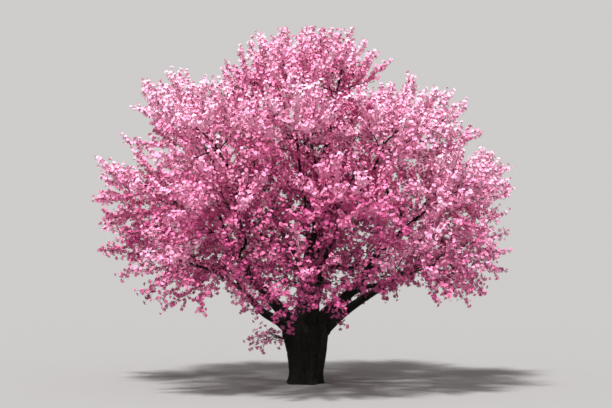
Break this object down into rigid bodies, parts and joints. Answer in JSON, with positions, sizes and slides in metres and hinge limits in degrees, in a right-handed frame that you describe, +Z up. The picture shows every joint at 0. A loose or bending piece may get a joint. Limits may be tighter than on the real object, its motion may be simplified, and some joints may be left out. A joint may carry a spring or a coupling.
{
  "type": "flowering cherry tree",
  "caption": "Lone cherry tree in full pink blossom: a short stout trunk that forks low into spreading boughs, and a broad dome of blossom masses on twigs.",
  "frame": {"origin": "middle of the trunk's flat foot, on the ground", "axes": "+Z up, +X to the right and +Y to the back of the tree as the picture shows it"},
  "size_m": [9.0363, 9.1122, 7.6947],
  "materials": {
    "bark": "rough dark bark",
    "blossom": "soft matt petals"
  },
  "bodies": {
    "root": {"trunk": "bark", "bough_middle_1": "bark", "bough_middle_2": "bark", "bough_middle_3": "bark", "bough_middle_4": "bark", "bough_middle_5": "bark", "bough_middle_6": "bark", "bough_middle_7": "bark", "bough_crest_1": "bark", "bough_crest_2": "bark", "bough_crest_3": "bark", "bough_crest_4": "bark", "bough_upper_1": "bark", "bough_upper_2": "bark", "bough_upper_3": "bark", "bough_upper_4": "bark", "bough_upper_5": "bark", "bough_upper_6": "bark", "bough_upper_7": "bark", "bough_inner_1": "bark", "bough_inner_2": "bark", "bough_inner_3": "bark", "bough_skirt_1": "bark", "bough_skirt_2": "bark", "bough_skirt_3": "bark", "bough_skirt_4": "bark", "bough_skirt_5": "bark", "bough_skirt_6": "bark", "bough_skirt_7": "bark", "blossom_middle_1": "blossom", "blossom_middle_2": "blossom", "blossom_middle_3": "blossom", "blossom_middle_4": "blossom", "blossom_middle_5": "blossom", "blossom_middle_6": "blossom", "blossom_middle_7": "blossom", "blossom_crest_1": "blossom", "blossom_crest_2": "blossom", "blossom_crest_3": "blossom", "blossom_crest_4": "blossom", "blossom_upper_1": "blossom", "blossom_upper_2": "blossom", "blossom_upper_3": "blossom", "blossom_upper_4": "blossom", "blossom_upper_5": "blossom", "blossom_upper_6": "blossom", "blossom_upper_7": "blossom", "blossom_inner_1": "blossom", "blossom_inner_2": "blossom", "blossom_inner_3": "blossom", "blossom_skirt_1": "blossom", "blossom_skirt_2": "blossom", "blossom_skirt_3": "blossom", "blossom_skirt_4": "blossom", "blossom_skirt_5": "blossom", "blossom_skirt_6": "blossom", "blossom_skirt_7": "blossom", "blossom_sprout": "blossom"}
  },
  "joints": []
}
